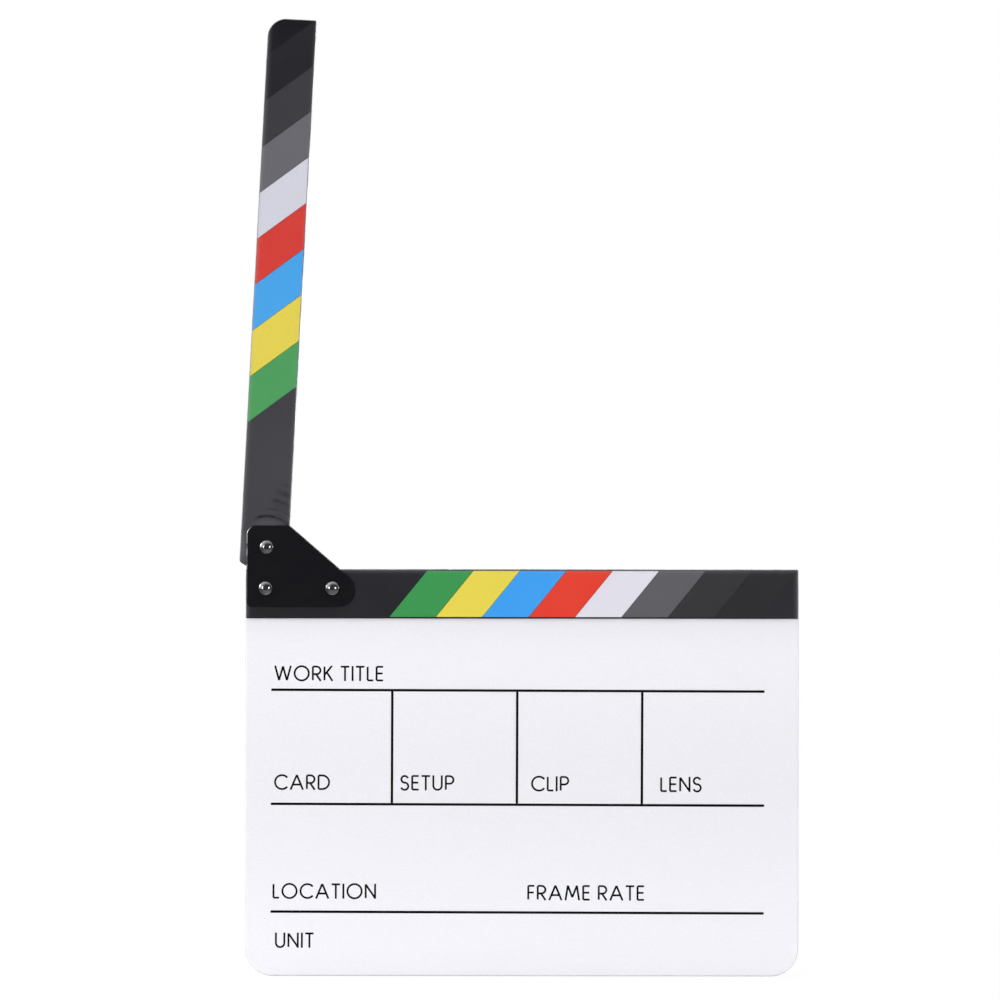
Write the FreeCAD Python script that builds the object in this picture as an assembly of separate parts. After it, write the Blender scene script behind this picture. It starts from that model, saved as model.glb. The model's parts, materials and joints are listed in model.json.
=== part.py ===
import FreeCAD, Part
import math
import os

# A film clapperboard, opened as for a clap. A white acrylic slate stands in the slot of a fixed lower
# clapstick. A second clapstick swings above it on a sleeved pivot screw between two steel hinge plates.
# Both sticks carry the same row of slanted colour films, which meet as chevrons when the sticks close.
# Frame in millimetres: X to the right, Y from the front to the back, Z up.
# The origin is at the middle of the slate's bottom edge.

# Slate
slate_width = 297.0
slate_face_height = 191.9
slate_thickness = 3.0
slate_corner_radius = 15.0
slate_edge_radius = 0.9

# Clapsticks
lower_stick_width = 26.5
upper_stick_width = 25.8
stick_thickness = 9.0
lower_end_setback = 0.4
upper_end_setback = 1.7
stick_edge_chamfer = 0.4
stick_corner_radius = 0.7
free_end_radius = 10.0
heel_cut_length = 3.0
heel_cut_width = 5.5
heel_cut_radius = 2.2

# Slot that holds the slate's tongue in the lower stick
slot_clearance = 0.1
tongue_margin = 4.6

# Hinge
pivot_height = 11.7
pivot_inset = 11.1
clap_gap = 0.1
side_play = 0.1
open_angle = 87.0
fixing_row_depth = 10.3
fixing_offset = 0.5
fixing_spacing = 35.7

# Hinge plates
plate_thickness = 1.2
plate_left_reach = 10.8
plate_top_reach = 11.6
plate_top_width = 22.8
plate_foot_reach = 10.1
plate_lobe_radius = 9.1
plate_lobe_lead = 2.9
plate_top_left_radius = 5.0
plate_shoulder_radius = 0.6
plate_bottom_left_radius = 3.0
plate_edge_chamfer = 0.5

# Screws with a button head and a hexagon socket
screw_diameter = 4.0
screw_hole_clearance = 0.15
head_diameter = 7.6
head_height = 2.2
head_rim = 0.35
head_crown_diameter = 4.0
socket_across_flats = 2.5
socket_depth = 1.3
tip_projection = 0.9

# Pivot sleeve, which keeps the plates apart so that the upper stick turns freely
sleeve_wall = 0.85
sleeve_running_clearance = 0.05

# Washers and lock nuts on the rear plate
washer_diameter = 9.0
washer_thickness = 0.8
nut_across_flats = 7.0
nut_hex_height = 3.4
nut_collar_diameter = 6.3
nut_collar_height = 1.6
nut_collar_wall = 0.55
thread_clearance = 0.05

# Colour films, in their order from the hinge to the free end
film_thickness = 0.15
film_slant = 39.2
film_gap = 0.25
film_clearance = 18.6
film_end_lap = 0.9
upper_film_lag = 0.2
lower_film_margin = 0.9
upper_film_margin = 0.4
film_colours = ("green", "yellow", "blue", "red", "white", "light_grey", "mid_grey", "dark_grey")

# Modelling values
cut_overrun = 1.0
easing_limit_share = 0.4

# Places worked out from the sizes above
clap_line = slate_face_height + lower_stick_width
lower_right = slate_width / 2 - lower_end_setback
lower_left = -lower_right
stick_front = -stick_thickness / 2
stick_back = stick_thickness / 2
pivot_x = lower_left + pivot_inset
pivot_z = clap_line + pivot_height
heel_radius = pivot_height - clap_gap
upper_left = pivot_x - heel_radius
upper_right = lower_right - upper_end_setback
upper_clap_face = clap_line + clap_gap
upper_far_edge = upper_clap_face + upper_stick_width
upper_front = stick_front + side_play
upper_back = stick_back - side_play
fixing_z = clap_line - fixing_row_depth
near_screw_x = pivot_x - fixing_offset
far_screw_x = near_screw_x + fixing_spacing
pivot_place = (pivot_x, pivot_z)
fixing_places = ((near_screw_x, fixing_z), (far_screw_x, fixing_z))
screw_places = (pivot_place,) + fixing_places
tongue_top = fixing_z + tongue_margin
plate_front = stick_front - plate_thickness
plate_back = stick_back + plate_thickness
plate_right = far_screw_x + plate_lobe_lead + plate_lobe_radius
nut_seat = plate_back + washer_thickness
nut_collar_seat = nut_seat + nut_hex_height
nut_end = nut_collar_seat + nut_collar_height
screw_hole = screw_diameter + 2 * screw_hole_clearance
sleeve_diameter = screw_hole + 2 * sleeve_wall
nut_bore = screw_diameter + 2 * thread_clearance
nut_pocket = nut_collar_diameter - 2 * nut_collar_wall
film_lean = math.tan(math.radians(film_slant))
film_row_start = plate_right + film_clearance + upper_stick_width * film_lean

Y_AXIS = FreeCAD.Vector(0, 1, 0)


def point(x, y, z):
    return FreeCAD.Vector(x, y, z)


def rounded_outline(corners, y):
    """Closed convex wire in the plane at y, through (x, z, radius) corners, each rounded by its radius."""
    arcs = []
    for index, (x, z, radius) in enumerate(corners):
        here = point(x, y, z)
        last_x, last_z, _ = corners[index - 1]
        next_x, next_z, _ = corners[(index + 1) % len(corners)]
        back = (point(last_x, y, last_z) - here).normalize()
        ahead = (point(next_x, y, next_z) - here).normalize()
        half_angle = back.getAngle(ahead) / 2
        inward = (back + ahead).normalize()
        run = radius / math.tan(half_angle)
        depth = radius / math.sin(half_angle) - radius
        arcs.append((here + back * run, here + inward * depth, here + ahead * run))
    edges = []
    for index, (start, middle, end) in enumerate(arcs):
        if not start.isEqual(end, Part.Precision.confusion()):
            edges.append(Part.Arc(start, middle, end).toShape())
        following = arcs[(index + 1) % len(arcs)][0]
        if not end.isEqual(following, Part.Precision.confusion()):
            edges.append(Part.LineSegment(end, following).toShape())
    return Part.Wire(edges)


def slab(corners, front, back):
    """Flat piece with a rounded outline, between two Y planes."""
    return Part.Face(rounded_outline(corners, front)).extrude(Y_AXIS * (back - front))


def outline_edges(solid, planes, near):
    """The edges that lie in the given Y planes, found within the near distance of them."""
    edges = []
    for edge in solid.Edges:
        for plane in planes:
            off_plane = max(abs(edge.BoundBox.YMin - plane), abs(edge.BoundBox.YMax - plane))
            if off_plane < near:
                edges.append(edge)
    return edges


def rounded_over(solid, radius, planes):
    """The solid with its outline rounded over in the given Y planes, within what its thickness allows."""
    radius = min(radius, solid.BoundBox.YLength * easing_limit_share)
    return solid.makeFillet(radius, outline_edges(solid, planes, radius))


def chamfered(solid, size, planes):
    """The solid with its outline chamfered in the given Y planes, within what its thickness allows."""
    size = min(size, solid.BoundBox.YLength * easing_limit_share)
    return solid.makeChamfer(size, outline_edges(solid, planes, size))


def rod(x, z, diameter, front, back):
    """Round bar along Y."""
    return Part.makeCylinder(diameter / 2, back - front, point(x, front, z), Y_AXIS)


def drilled(solid, places, diameter):
    """The solid with a round hole along Y at each (x, z) place."""
    front = solid.BoundBox.YMin - cut_overrun
    back = solid.BoundBox.YMax + cut_overrun
    for x, z in places:
        solid = solid.cut(rod(x, z, diameter, front, back))
    return solid


def hexagon(x, z, across_flats, front, back):
    """Hexagonal bar along Y, with two corners level with its axis."""
    corner_radius = across_flats / math.sqrt(3)
    corners = []
    for side in range(6):
        turn = math.radians(60 * side)
        corners.append((x + corner_radius * math.cos(turn), z + corner_radius * math.sin(turn), 0))
    return slab(corners, front, back)


def slate_board():
    """Acrylic sheet with rounded lower corners, whose top strip is the tongue in the lower stick's slot."""
    half = slate_width / 2
    corners = (
        (-half, 0, slate_corner_radius),
        (half, 0, slate_corner_radius),
        (half, tongue_top, 0),
        (-half, tongue_top, 0),
    )
    front = -slate_thickness / 2
    back = slate_thickness / 2
    sheet = rounded_over(slab(corners, front, back), slate_edge_radius, (front, back))
    return drilled(sheet, fixing_places, screw_hole)


def lower_stick_corners(inset):
    """The fixed stick's outline, drawn in by the inset all round."""
    left = lower_left + inset
    right = lower_right - inset
    bottom = slate_face_height + inset
    top = clap_line - inset
    radius = max(stick_corner_radius - inset, 0)
    return ((left, bottom, radius), (right, bottom, radius), (right, top, radius), (left, top, radius))


def upper_stick_corners(inset):
    """The swinging stick's outline as it lies closed, drawn in by the inset all round.
    Its lower heel corner is round about the pivot, so that it clears the fixed stick as it swings,
    and its upper heel corner is cut off at a slant."""
    left = upper_left + inset
    right = upper_right - inset
    bottom = upper_clap_face + inset
    top = upper_far_edge - inset
    return (
        (left, bottom, heel_radius - inset),
        (right, bottom, max(stick_corner_radius - inset, 0)),
        (right, top, max(free_end_radius - inset, 0)),
        (left + heel_cut_length, top, max(heel_cut_radius - inset, 0)),
        (left, top - heel_cut_width, max(heel_cut_radius - inset, 0)),
    )


def opened(solid):
    """A piece of the swinging stick, turned about the pivot from closed to open."""
    return solid.rotate(point(pivot_x, 0, pivot_z), -Y_AXIS, open_angle)


def lower_stick():
    """Wooden bar with eased edges, slotted along its underside for the slate and drilled for the hinge."""
    bar = slab(lower_stick_corners(0), stick_front, stick_back)
    bar = chamfered(bar, stick_edge_chamfer, (stick_front, stick_back))
    slot_width = slate_thickness + 2 * slot_clearance
    slot_bottom = slate_face_height - cut_overrun
    slot = Part.makeBox(
        lower_right - lower_left + 2 * cut_overrun,
        slot_width,
        tongue_top + slot_clearance - slot_bottom,
        point(lower_left - cut_overrun, -slot_width / 2, slot_bottom),
    )
    return drilled(bar.cut(slot), fixing_places, screw_hole)


def upper_stick():
    """Wooden bar with eased edges, a rounded free end and a rounded heel, bored for the pivot sleeve."""
    bar = slab(upper_stick_corners(0), upper_front, upper_back)
    bar = chamfered(bar, stick_edge_chamfer, (upper_front, upper_back))
    return opened(drilled(bar, (pivot_place,), sleeve_diameter + 2 * sleeve_running_clearance))


def plate_corners():
    """The hinge plate's outline: square round the pivot, with a slope down to a lobe round the far screw.
    The lobe rounds off the sharp toe where the slope, tangent to the lobe, would meet the bottom edge."""
    left = pivot_x - plate_left_reach
    top = pivot_z + plate_top_reach
    bottom = fixing_z - plate_foot_reach
    shoulder_x = left + plate_top_width
    across = plate_right - plate_lobe_radius - shoulder_x
    down = top - (bottom + plate_lobe_radius)
    slope = math.atan2(down, across) - math.asin(plate_lobe_radius / math.hypot(across, down))
    toe_x = shoulder_x + (top - bottom) / math.tan(slope)
    return (
        (left, bottom, plate_bottom_left_radius),
        (toe_x, bottom, plate_lobe_radius),
        (shoulder_x, top, plate_shoulder_radius),
        (left, top, plate_top_left_radius),
    )


def front_hinge_plate():
    """Steel plate, chamfered on the side that shows, with a hole for each screw."""
    plate = slab(plate_corners(), plate_front, stick_front)
    return drilled(chamfered(plate, plate_edge_chamfer, (plate_front,)), screw_places, screw_hole)


def rear_hinge_plate():
    """The same plate behind the sticks, chamfered towards the back."""
    plate = slab(plate_corners(), stick_back, plate_back)
    return drilled(chamfered(plate, plate_edge_chamfer, (plate_back,)), screw_places, screw_hole)


def button_head_screw(x, z):
    """Screw from the front plate through to its lock nut, with a domed head and a hexagon socket."""
    rim_radius = head_diameter / 2
    crown_radius = head_crown_diameter / 2
    rim_y = plate_front - head_rim
    crown_y = plate_front - head_height
    dome_y = (rim_radius**2 - crown_radius**2 + rim_y**2 - crown_y**2) / (2 * (rim_y - crown_y))
    dome = Part.makeSphere(math.hypot(rim_radius, rim_y - dome_y), point(x, dome_y, z), Y_AXIS)
    head = rod(x, z, head_diameter, crown_y, plate_front).common(dome)
    shank = rod(x, z, screw_diameter, plate_front, nut_end + tip_projection)
    socket = hexagon(x, z, socket_across_flats, crown_y - cut_overrun, crown_y + socket_depth)
    return head.fuse(shank).removeSplitter().cut(socket)


def pivot_sleeve():
    """Steel tube round the pivot screw, clamped between the plates, on which the swinging stick turns."""
    tube = rod(pivot_x, pivot_z, sleeve_diameter, stick_front, stick_back)
    return drilled(tube, (pivot_place,), screw_hole)


def washer(x, z):
    """Flat washer between the rear plate and a lock nut."""
    return drilled(rod(x, z, washer_diameter, plate_back, nut_seat), ((x, z),), screw_hole)


def lock_nut(x, z):
    """Hexagon nut with a thin round collar behind, which holds its locking insert."""
    body = drilled(hexagon(x, z, nut_across_flats, nut_seat, nut_collar_seat), ((x, z),), nut_bore)
    collar = drilled(rod(x, z, nut_collar_diameter, nut_collar_seat, nut_end), ((x, z),), nut_pocket)
    return body.fuse(collar).removeSplitter()


def nut_insert(x, z):
    """Nylon ring pressed into the lock nut's collar."""
    return drilled(rod(x, z, nut_pocket, nut_collar_seat, nut_end), ((x, z),), nut_bore)


def film(order, stick_face_outline, clap_face, far_edge, row_start, free_end, stick_face):
    """One slanted colour film on the flat front of a stick that lies along the clap line.
    The films share out the clap edge from past the hinge plates to the free end, with a narrow gap between
    them, and lean back from it as far as the stick's other edge."""
    pitch = (free_end + film_end_lap - row_start) / len(film_colours)
    near = row_start + order * pitch
    far = near + pitch - film_gap
    lean = abs(far_edge - clap_face) * film_lean
    front = stick_face - film_thickness
    outline = (
        (near, clap_face, 0),
        (far, clap_face, 0),
        (far - lean, far_edge, 0),
        (near - lean, far_edge, 0),
    )
    face_flat = slab(stick_face_outline, front, stick_face)
    return slab(outline, front, stick_face).common(face_flat).Solids[0]


def lower_film(order):
    """A film on the fixed stick, leaning down from the clap line."""
    face = lower_stick_corners(lower_film_margin)
    return film(order, face, clap_line, slate_face_height, film_row_start, lower_right, stick_front)


def upper_film(order):
    """A film on the swinging stick, leaning up from the clap line before the stick is opened."""
    face = upper_stick_corners(upper_film_margin)
    row_start = film_row_start + upper_film_lag
    return opened(film(order, face, upper_clap_face, upper_far_edge, row_start, upper_right, upper_front))


def group(make, places):
    """Like pieces as separate solids in one node."""
    return Part.makeCompound([make(x, z) for x, z in places])


pieces = {
    "slate_board": slate_board(),
    "lower_stick": lower_stick(),
    "upper_stick": upper_stick(),
    "front_hinge_plate": front_hinge_plate(),
    "rear_hinge_plate": rear_hinge_plate(),
    "pivot_screw": button_head_screw(*pivot_place),
    "fixing_screws": group(button_head_screw, fixing_places),
    "pivot_sleeve": pivot_sleeve(),
    "washers": group(washer, screw_places),
    "lock_nuts": group(lock_nut, screw_places),
    "lock_nut_inserts": group(nut_insert, screw_places),
}
for order, colour in enumerate(film_colours):
    pieces["lower_film_" + colour] = lower_film(order)
    pieces["upper_film_" + colour] = upper_film(order)

os.makedirs("parts", exist_ok=True)
for name, shape in pieces.items():
    shape.exportStep("parts/" + name + ".step")
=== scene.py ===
import json
import math

import bpy
from mathutils import Matrix, Vector


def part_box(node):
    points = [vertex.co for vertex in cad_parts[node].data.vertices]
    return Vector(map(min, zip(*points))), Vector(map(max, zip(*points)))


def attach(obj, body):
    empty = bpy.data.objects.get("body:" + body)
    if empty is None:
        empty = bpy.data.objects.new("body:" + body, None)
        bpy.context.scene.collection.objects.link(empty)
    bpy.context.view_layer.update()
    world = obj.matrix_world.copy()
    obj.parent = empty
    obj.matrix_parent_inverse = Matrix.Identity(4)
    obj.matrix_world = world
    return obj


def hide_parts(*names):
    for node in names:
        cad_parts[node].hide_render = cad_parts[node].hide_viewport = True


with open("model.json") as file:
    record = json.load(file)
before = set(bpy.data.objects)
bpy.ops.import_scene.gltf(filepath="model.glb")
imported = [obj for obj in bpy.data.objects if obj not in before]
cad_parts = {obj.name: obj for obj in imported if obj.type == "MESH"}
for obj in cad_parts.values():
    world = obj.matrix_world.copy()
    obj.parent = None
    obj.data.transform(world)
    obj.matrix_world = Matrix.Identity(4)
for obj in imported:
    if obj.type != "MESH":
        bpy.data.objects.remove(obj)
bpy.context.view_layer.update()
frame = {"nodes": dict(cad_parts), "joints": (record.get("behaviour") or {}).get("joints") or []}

nodes = frame["nodes"]


# Slate: a sheet of white cast acrylic, written on with a dry wipe pen and wiped clean again.
# It is routed from 3 mm sheet with its edges rounded over, which leaves them duller than the faces, and
# the rounded edges are painted darker as painted shade.
# Its top strip stands in the lower stick's slot, where the two fixing screws pass through it.
def srgb(red, green, blue):
    """The linear colour of a display colour given in steps of 255."""
    parts = []
    for step in (red, green, blue):
        share = step / 255
        parts.append(share / 12.92 if share <= 0.04045 else ((share + 0.055) / 1.055) ** 2.4)
    return (*parts, 1.0)


def set_inputs(tree, node, inputs):
    """Sets inputs of a node. One that is given another node's output is linked to it."""
    for name, value in inputs.items():
        if isinstance(value, bpy.types.NodeSocket):
            tree.links.new(value, node.inputs[name])
        else:
            node.inputs[name].default_value = value


def add_node(tree, kind, inputs, **settings):
    """A node of that kind, with its settings and inputs."""
    made = tree.nodes.new(kind)
    for name, value in settings.items():
        setattr(made, name, value)
    set_inputs(tree, made, inputs)
    return made


def combine(tree, operation, *values):
    """The value of one sum, product or other operation on up to three values."""
    return add_node(tree, "ShaderNodeMath", dict(enumerate(values)), operation=operation).outputs[0]


def distance(tree, value, middle):
    """How far a value is from a middle one."""
    return combine(tree, "ABSOLUTE", combine(tree, "SUBTRACT", value, middle))


def parts_of(tree, vector):
    """The X, Y and Z of a vector."""
    return add_node(tree, "ShaderNodeSeparateXYZ", {0: vector}).outputs


def ramp(tree, value, start, end, first=0.0, last=1.0, curve="LINEAR"):
    """A value that goes from the first to the last while another goes from the start to the end."""
    inputs = {"Value": value, "From Min": start, "From Max": end, "To Min": first, "To Max": last}
    return add_node(tree, "ShaderNodeMapRange", inputs, interpolation_type=curve).outputs["Result"]


def noise(tree, vector, scale, detail):
    """Random values round a half, in spots that are smaller where the scale is larger."""
    inputs = {"Vector": vector, "Scale": scale, "Detail": detail}
    return add_node(tree, "ShaderNodeTexNoise", inputs).outputs["Fac"]


def lay(tree, vector, turn, stretch=(1.0, 1.0, 1.0)):
    """Coordinates stretched and then turned, so that a pattern lies along a piece."""
    inputs = {"Vector": vector, "Rotation": turn, "Scale": stretch}
    return add_node(tree, "ShaderNodeMapping", inputs).outputs["Vector"]


def blend_colours(tree, factor, first, second):
    """The colour that goes from the first to the second as the factor goes from 0 to 1."""
    mix = add_node(tree, "ShaderNodeMix", {0: factor, 6: first, 7: second}, data_type="RGBA")
    return mix.outputs[2]


def raised(tree, height, depth):
    """The normal of a surface raised by the height, from 0 to 1, times the depth in metres."""
    inputs = {"Height": height, "Distance": depth, "Strength": 1.0}
    return add_node(tree, "ShaderNodeBump", inputs).outputs["Normal"]


def new_group(name, vectors, values=()):
    """An empty shader node group and its inputs, which are named vectors and values."""
    tree = bpy.data.node_groups.new(name, "ShaderNodeTree")
    for label in vectors:
        tree.interface.new_socket(label, in_out="INPUT", socket_type="NodeSocketVector")
    for label in values:
        tree.interface.new_socket(label, in_out="INPUT", socket_type="NodeSocketFloat")
    return tree, tree.nodes.new("NodeGroupInput").outputs


def put_out(tree, label, value):
    """Ends a node group with its one output."""
    tree.interface.new_socket(label, in_out="OUTPUT", socket_type="NodeSocketFloat")
    tree.links.new(value, tree.nodes.new("NodeGroupOutput").inputs[label])


def use_group(tree, group, inputs):
    """The output of a node group placed in a material with its own values."""
    return add_node(tree, "ShaderNodeGroup", inputs, node_tree=group).outputs[0]


def new_material(name):
    """A material with its node tree, its shader and the object coordinates of the piece."""
    material = bpy.data.materials.new(name)
    material.use_nodes = True
    tree = material.node_tree
    place = tree.nodes.new("ShaderNodeTexCoord").outputs["Object"]
    return material, tree, tree.nodes["Principled BSDF"], place


# Soft clouds, for the way a finish varies slowly from place to place
cloud_low = 0.3
cloud_high = 0.7
cloudiness, given = new_group("cloudiness", ("Vector",), ("Scale", "Low", "High"))
soft_spots = noise(cloudiness, given["Vector"], given["Scale"], detail=4.0)
spread = ramp(cloudiness, soft_spots, cloud_low, cloud_high, given["Low"], given["High"], "SMOOTHSTEP")
put_out(cloudiness, "Value", spread)


def clouds(tree, place, scale, low, high):
    """A value that drifts between the low and the high one over the surface."""
    return use_group(tree, cloudiness, {"Vector": place, "Scale": scale, "Low": low, "High": high})


# Hairline scratches, which run along one direction and break up along their way
noise_middle = 0.5
hairline_width = 0.016
patch_scale = 55.0
patch_low = 0.52
patch_high = 0.64
hairlines, given = new_group("hairlines", ("Vector", "Turn", "Stretch"))
drawn_out = lay(hairlines, given["Vector"], given["Turn"], given["Stretch"])
streaks = noise(hairlines, drawn_out, scale=1.0, detail=1.0)
hairline = ramp(hairlines, distance(hairlines, streaks, noise_middle), 0.0, hairline_width, 1.0, 0.0)
patches = noise(hairlines, given["Vector"], patch_scale, detail=2.0)
shown = ramp(hairlines, patches, patch_low, patch_high)
put_out(hairlines, "Mask", combine(hairlines, "MULTIPLY", hairline, shown))

slate_white = srgb(239, 238, 243)
slate_ghost = srgb(232, 231, 236)
# The rounded edges are painted darker than the face: painted shade
slate_edge_shade = srgb(224, 223, 227)
wiped_height = 0.105
wiped_reach = 0.1
wipe_turn = (0.0, 0.55, 0.0)
wipe_stretch = (14.0, 1.0, 520.0)
wipe_depth = 0.0000006
wipe_roughening = 0.03
edge_roughening = 0.25
# How squarely the surface faces forwards or backwards where the routed edge starts and where it is full
edge_start = 0.98
edge_full = 0.8

acrylic, tree, shader, place = new_material("white_acrylic_sheet")
ghosts = clouds(tree, place, scale=700.0, low=0.95, high=1.0)
polish = clouds(tree, place, scale=800.0, low=0.26, high=0.28)
wipes = use_group(tree, hairlines, {"Vector": place, "Turn": wipe_turn, "Stretch": wipe_stretch})
true_normal = tree.nodes.new("ShaderNodeNewGeometry").outputs["True Normal"]
squareness = combine(tree, "ABSOLUTE", parts_of(tree, true_normal)["Y"])
routed = ramp(tree, squareness, edge_start, edge_full)
off_wiped = distance(tree, parts_of(tree, place)["Z"], wiped_height)
wiped_here = ramp(tree, off_wiped, 0.0, wiped_reach, 1.0, 0.0, "SMOOTHSTEP")
ghosted = combine(tree, "MULTIPLY", wiped_here, ghosts)
face_white = blend_colours(tree, ghosted, slate_white, slate_ghost)
wiped = combine(tree, "MULTIPLY_ADD", wipes, wipe_roughening, polish)
set_inputs(tree, shader, {
    "Base Color": blend_colours(tree, routed, face_white, slate_edge_shade),
    "Roughness": combine(tree, "MULTIPLY_ADD", routed, edge_roughening, wiped),
    "Normal": raised(tree, combine(tree, "MULTIPLY", wipes, -1.0), wipe_depth),
    "IOR": 1.49,
    "Specular IOR Level": 0.25,
})
nodes["slate_board"].material_slots[0].material = acrylic


# Form rules: the printed lines that divide the slate into its boxes.
# They are screen printed in black ink on the acrylic, a hair out of square with the sheet.
def select_only(*pieces):
    """Selects these pieces and nothing else, and makes the first one active."""
    bpy.ops.object.select_all(action="DESELECT")
    for piece in reversed(pieces):
        piece.select_set(True)
        bpy.context.view_layer.objects.active = piece


def named(piece, name):
    """The piece, with its name on its mesh too."""
    piece.name = name
    piece.data.name = name
    return piece


def block(name, low, high):
    """A block between two corners, with its place in its mesh."""
    select_only()
    middle = [(start + end) / 2 for start, end in zip(low, high)]
    size = [end - start for start, end in zip(low, high)]
    bpy.ops.mesh.primitive_cube_add(size=1, location=middle, scale=size)
    bpy.ops.object.transform_apply()
    return named(bpy.context.object, name)


def select_edges(piece, wanted):
    """Goes into edit mode with each edge selected whose two ends are wanted."""
    select_only(piece)
    bpy.ops.object.mode_set(mode="EDIT")
    bpy.ops.mesh.select_mode(type="EDGE")
    bpy.ops.mesh.select_all(action="DESELECT")
    bpy.ops.object.mode_set(mode="OBJECT")
    for edge in piece.data.edges:
        start, end = (piece.data.vertices[index].co for index in edge.vertices)
        edge.select = wanted(start, end)
    bpy.ops.object.mode_set(mode="EDIT")


def bevel_edges(piece, wanted, width, steps):
    """Rounds over each edge whose two ends are wanted."""
    select_edges(piece, wanted)
    bpy.ops.mesh.bevel(offset=width, offset_type="OFFSET", segments=steps, affect="EDGES")
    bpy.ops.object.mode_set(mode="OBJECT")


def join(name, pieces):
    """Several meshes as one piece."""
    select_only(*pieces)
    bpy.ops.object.join()
    return named(bpy.context.object, name)


def turn_all(piece, angle, centre):
    """Turns the whole mesh about an axis along Y, from +X towards +Z."""
    select_only(piece)
    bpy.ops.object.mode_set(mode="EDIT")
    bpy.ops.mesh.select_all(action="SELECT")
    bpy.ops.transform.rotate(value=angle, orient_axis="Y", center_override=centre)
    bpy.ops.object.mode_set(mode="OBJECT")


def through_the_ink(start, end):
    """Whether an edge runs from the ink's front to its back."""
    return abs(start.y - end.y) > ink_height / 2


slate_low, slate_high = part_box("slate_board")
slate_face = slate_low.y
ink_height = 0.00004
ink_sink = 0.00001
rule_width = 0.00134
rule_corner_radius = rule_width / 5
rule_corner_steps = 3
rule_left = -0.1347
rule_right = 0.1300
rule_heights = (0.15320, 0.09199, 0.03417)
divider_places = (-0.06974, -0.00269, 0.06437)
print_turn = math.radians(-0.15)
print_centre = (0.0, slate_face, 0.0935)
ink_front = slate_face - ink_height
ink_back = slate_face + ink_sink

half_rule = rule_width / 2
divider_top = rule_heights[0] - half_rule
divider_bottom = rule_heights[1] + half_rule
spans = [(rule_left, rule_right, z - half_rule, z + half_rule) for z in rule_heights]
spans += [(x - half_rule, x + half_rule, divider_bottom, divider_top) for x in divider_places]
rules = []
for left, right, bottom, top in spans:
    rules.append(block("rule", (left, ink_front, bottom), (right, ink_back, top)))
for rule in rules:
    bevel_edges(rule, through_the_ink, rule_corner_radius, rule_corner_steps)
form_rules = join("form_rules", rules)
turn_all(form_rules, print_turn, print_centre)

ink_black = srgb(4, 4, 5)
ink_thin = srgb(14, 13, 16)
ink_relief = 0.000008
ink, tree, shader, place = new_material("black_screen_ink")
thin_spots = clouds(tree, place, scale=900.0, low=-0.6, high=1.0)
set_inputs(tree, shader, {
    "Base Color": blend_colours(tree, thin_spots, ink_black, ink_thin),
    "Roughness": clouds(tree, place, scale=300.0, low=0.45, high=0.62),
    "Normal": raised(tree, thin_spots, ink_relief),
    "Specular IOR Level": 0.1,
})
form_rules.data.materials.append(ink)
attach(form_rules, "slate")


# Form labels: one plain word in each box that says what is written there.
# They are screen printed with the rules, in thin capitals drawn with strokes of one width.
cap_height = 0.0081
letter_stroke = 0.00104
letter_gap_share = 0.17
word_gap_share = 0.36
ring_gap_share = 0.01
arc_step = 7.5
line_numbers = 4
stem = (0.05, 0.05, 0.05, 0.95)
bowl = ((0.05, 0.95, 0.30, 0.95), (0.05, 0.45, 0.30, 0.45), (0.30, 0.70, 0.25, -90, 90))
# Each letter is its width and its strokes, in shares of the height of the capitals. Four numbers are
# the two ends of a line, and five are the centre, radius, first angle and last angle of an arc
letter_shares = {
    "A": (0.90, ((0.04, 0.0, 0.45, 0.98), (0.45, 0.98, 0.86, 0.0), (0.19, 0.34, 0.71, 0.34))),
    "C": (0.86, ((0.50, 0.50, 0.46, 40, 320),)),
    "D": (0.80, (
        stem, (0.05, 0.95, 0.30, 0.95),
        (0.05, 0.05, 0.30, 0.05), (0.30, 0.50, 0.45, -90, 90),
    )),
    "E": (0.50, (stem, (0.05, 0.95, 0.48, 0.95), (0.05, 0.51, 0.45, 0.51), (0.05, 0.05, 0.48, 0.05))),
    "F": (0.46, (stem, (0.05, 0.95, 0.45, 0.95), (0.05, 0.51, 0.42, 0.51))),
    "I": (0.10, ((0.05, 0.0, 0.05, 1.0),)),
    "K": (0.60, (stem, (0.05, 0.40, 0.54, 1.0), (0.20, 0.58, 0.58, 0.0))),
    "L": (0.42, (stem, (0.05, 0.05, 0.42, 0.05))),
    "M": (1.00, (
        (0.05, 0.0, 0.20, 0.98), (0.20, 0.98, 0.50, 0.20),
        (0.50, 0.20, 0.80, 0.98), (0.80, 0.98, 0.95, 0.0),
    )),
    "N": (0.72, (stem, (0.05, 0.95, 0.67, 0.05), (0.67, 0.0, 0.67, 1.0))),
    "O": (1.04, ((0.52, 0.50, 0.47, 0, 360),)),
    "P": (0.56, (stem, *bowl)),
    "R": (0.60, (stem, *bowl, (0.26, 0.45, 0.57, 0.0))),
    "S": (0.56, ((0.28, 0.73, 0.22, 20, 270), (0.28, 0.27, 0.24, -160, 90))),
    "T": (0.56, ((0.0, 0.95, 0.56, 0.95), (0.28, 0.0, 0.28, 0.95))),
    "U": (0.66, ((0.05, 1.0, 0.05, 0.32), (0.61, 1.0, 0.61, 0.32), (0.33, 0.32, 0.28, 180, 360))),
    "W": (1.10, (
        (0.03, 1.0, 0.29, 0.04), (0.29, 0.04, 0.55, 0.96),
        (0.55, 0.96, 0.81, 0.04), (0.81, 0.04, 1.07, 1.0),
    )),
}
# Each label is its word, the place of its left end and the height of its foot
labels = (
    ("WORK TITLE", -0.1329, 0.1580),
    ("CARD", -0.1328, 0.0996),
    ("SETUP", -0.0652, 0.0995),
    ("CLIP", 0.0051, 0.0993),
    ("LENS", 0.0743, 0.0992),
    ("LOCATION", -0.1335, 0.0412),
    ("FRAME RATE", 0.0032, 0.0408),
    ("UNIT", -0.1321, 0.0148),
)


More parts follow.
